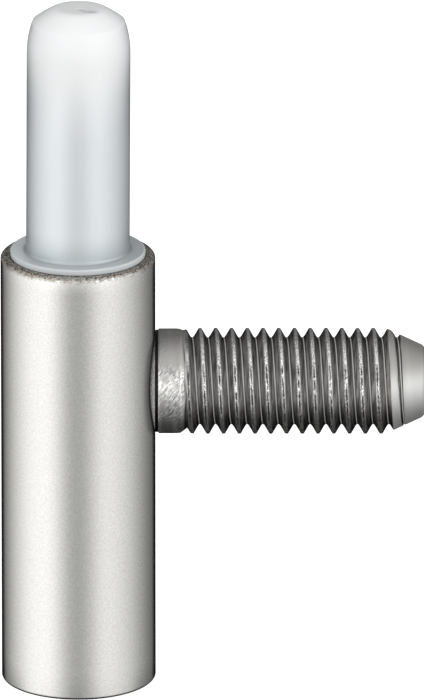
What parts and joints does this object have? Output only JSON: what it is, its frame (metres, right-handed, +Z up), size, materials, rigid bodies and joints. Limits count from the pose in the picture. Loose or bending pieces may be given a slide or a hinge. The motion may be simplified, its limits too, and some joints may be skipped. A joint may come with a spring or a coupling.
{
  "type": "door hinge frame part",
  "caption": "Frame part of a screw-in door hinge: a round steel barrel with a threaded stud at its side and a hinge pin in a white plastic sleeve on top.",
  "frame": {"origin": "centre of the barrel's lower end face, on the hinge axis", "axes": "+Z up along the hinge pin, +X out along the threaded stud, square to the pin"},
  "size_m": [0.0405, 0.0148, 0.0671],
  "materials": {
    "satin_nickel": "satin nickel plate with a fine grain, bare rough steel at the upper rim",
    "pin_steel": "ground steel",
    "milky_plastic": "smooth, milky, bluish white",
    "rolled_steel": "rolled thread in dark grey steel with bright, mottled crests"
  },
  "bodies": {
    "root": {"barrel": "satin_nickel", "hinge_pin": "pin_steel", "pin_sleeve": "milky_plastic", "threaded_stud": "rolled_steel"}
  },
  "joints": []
}
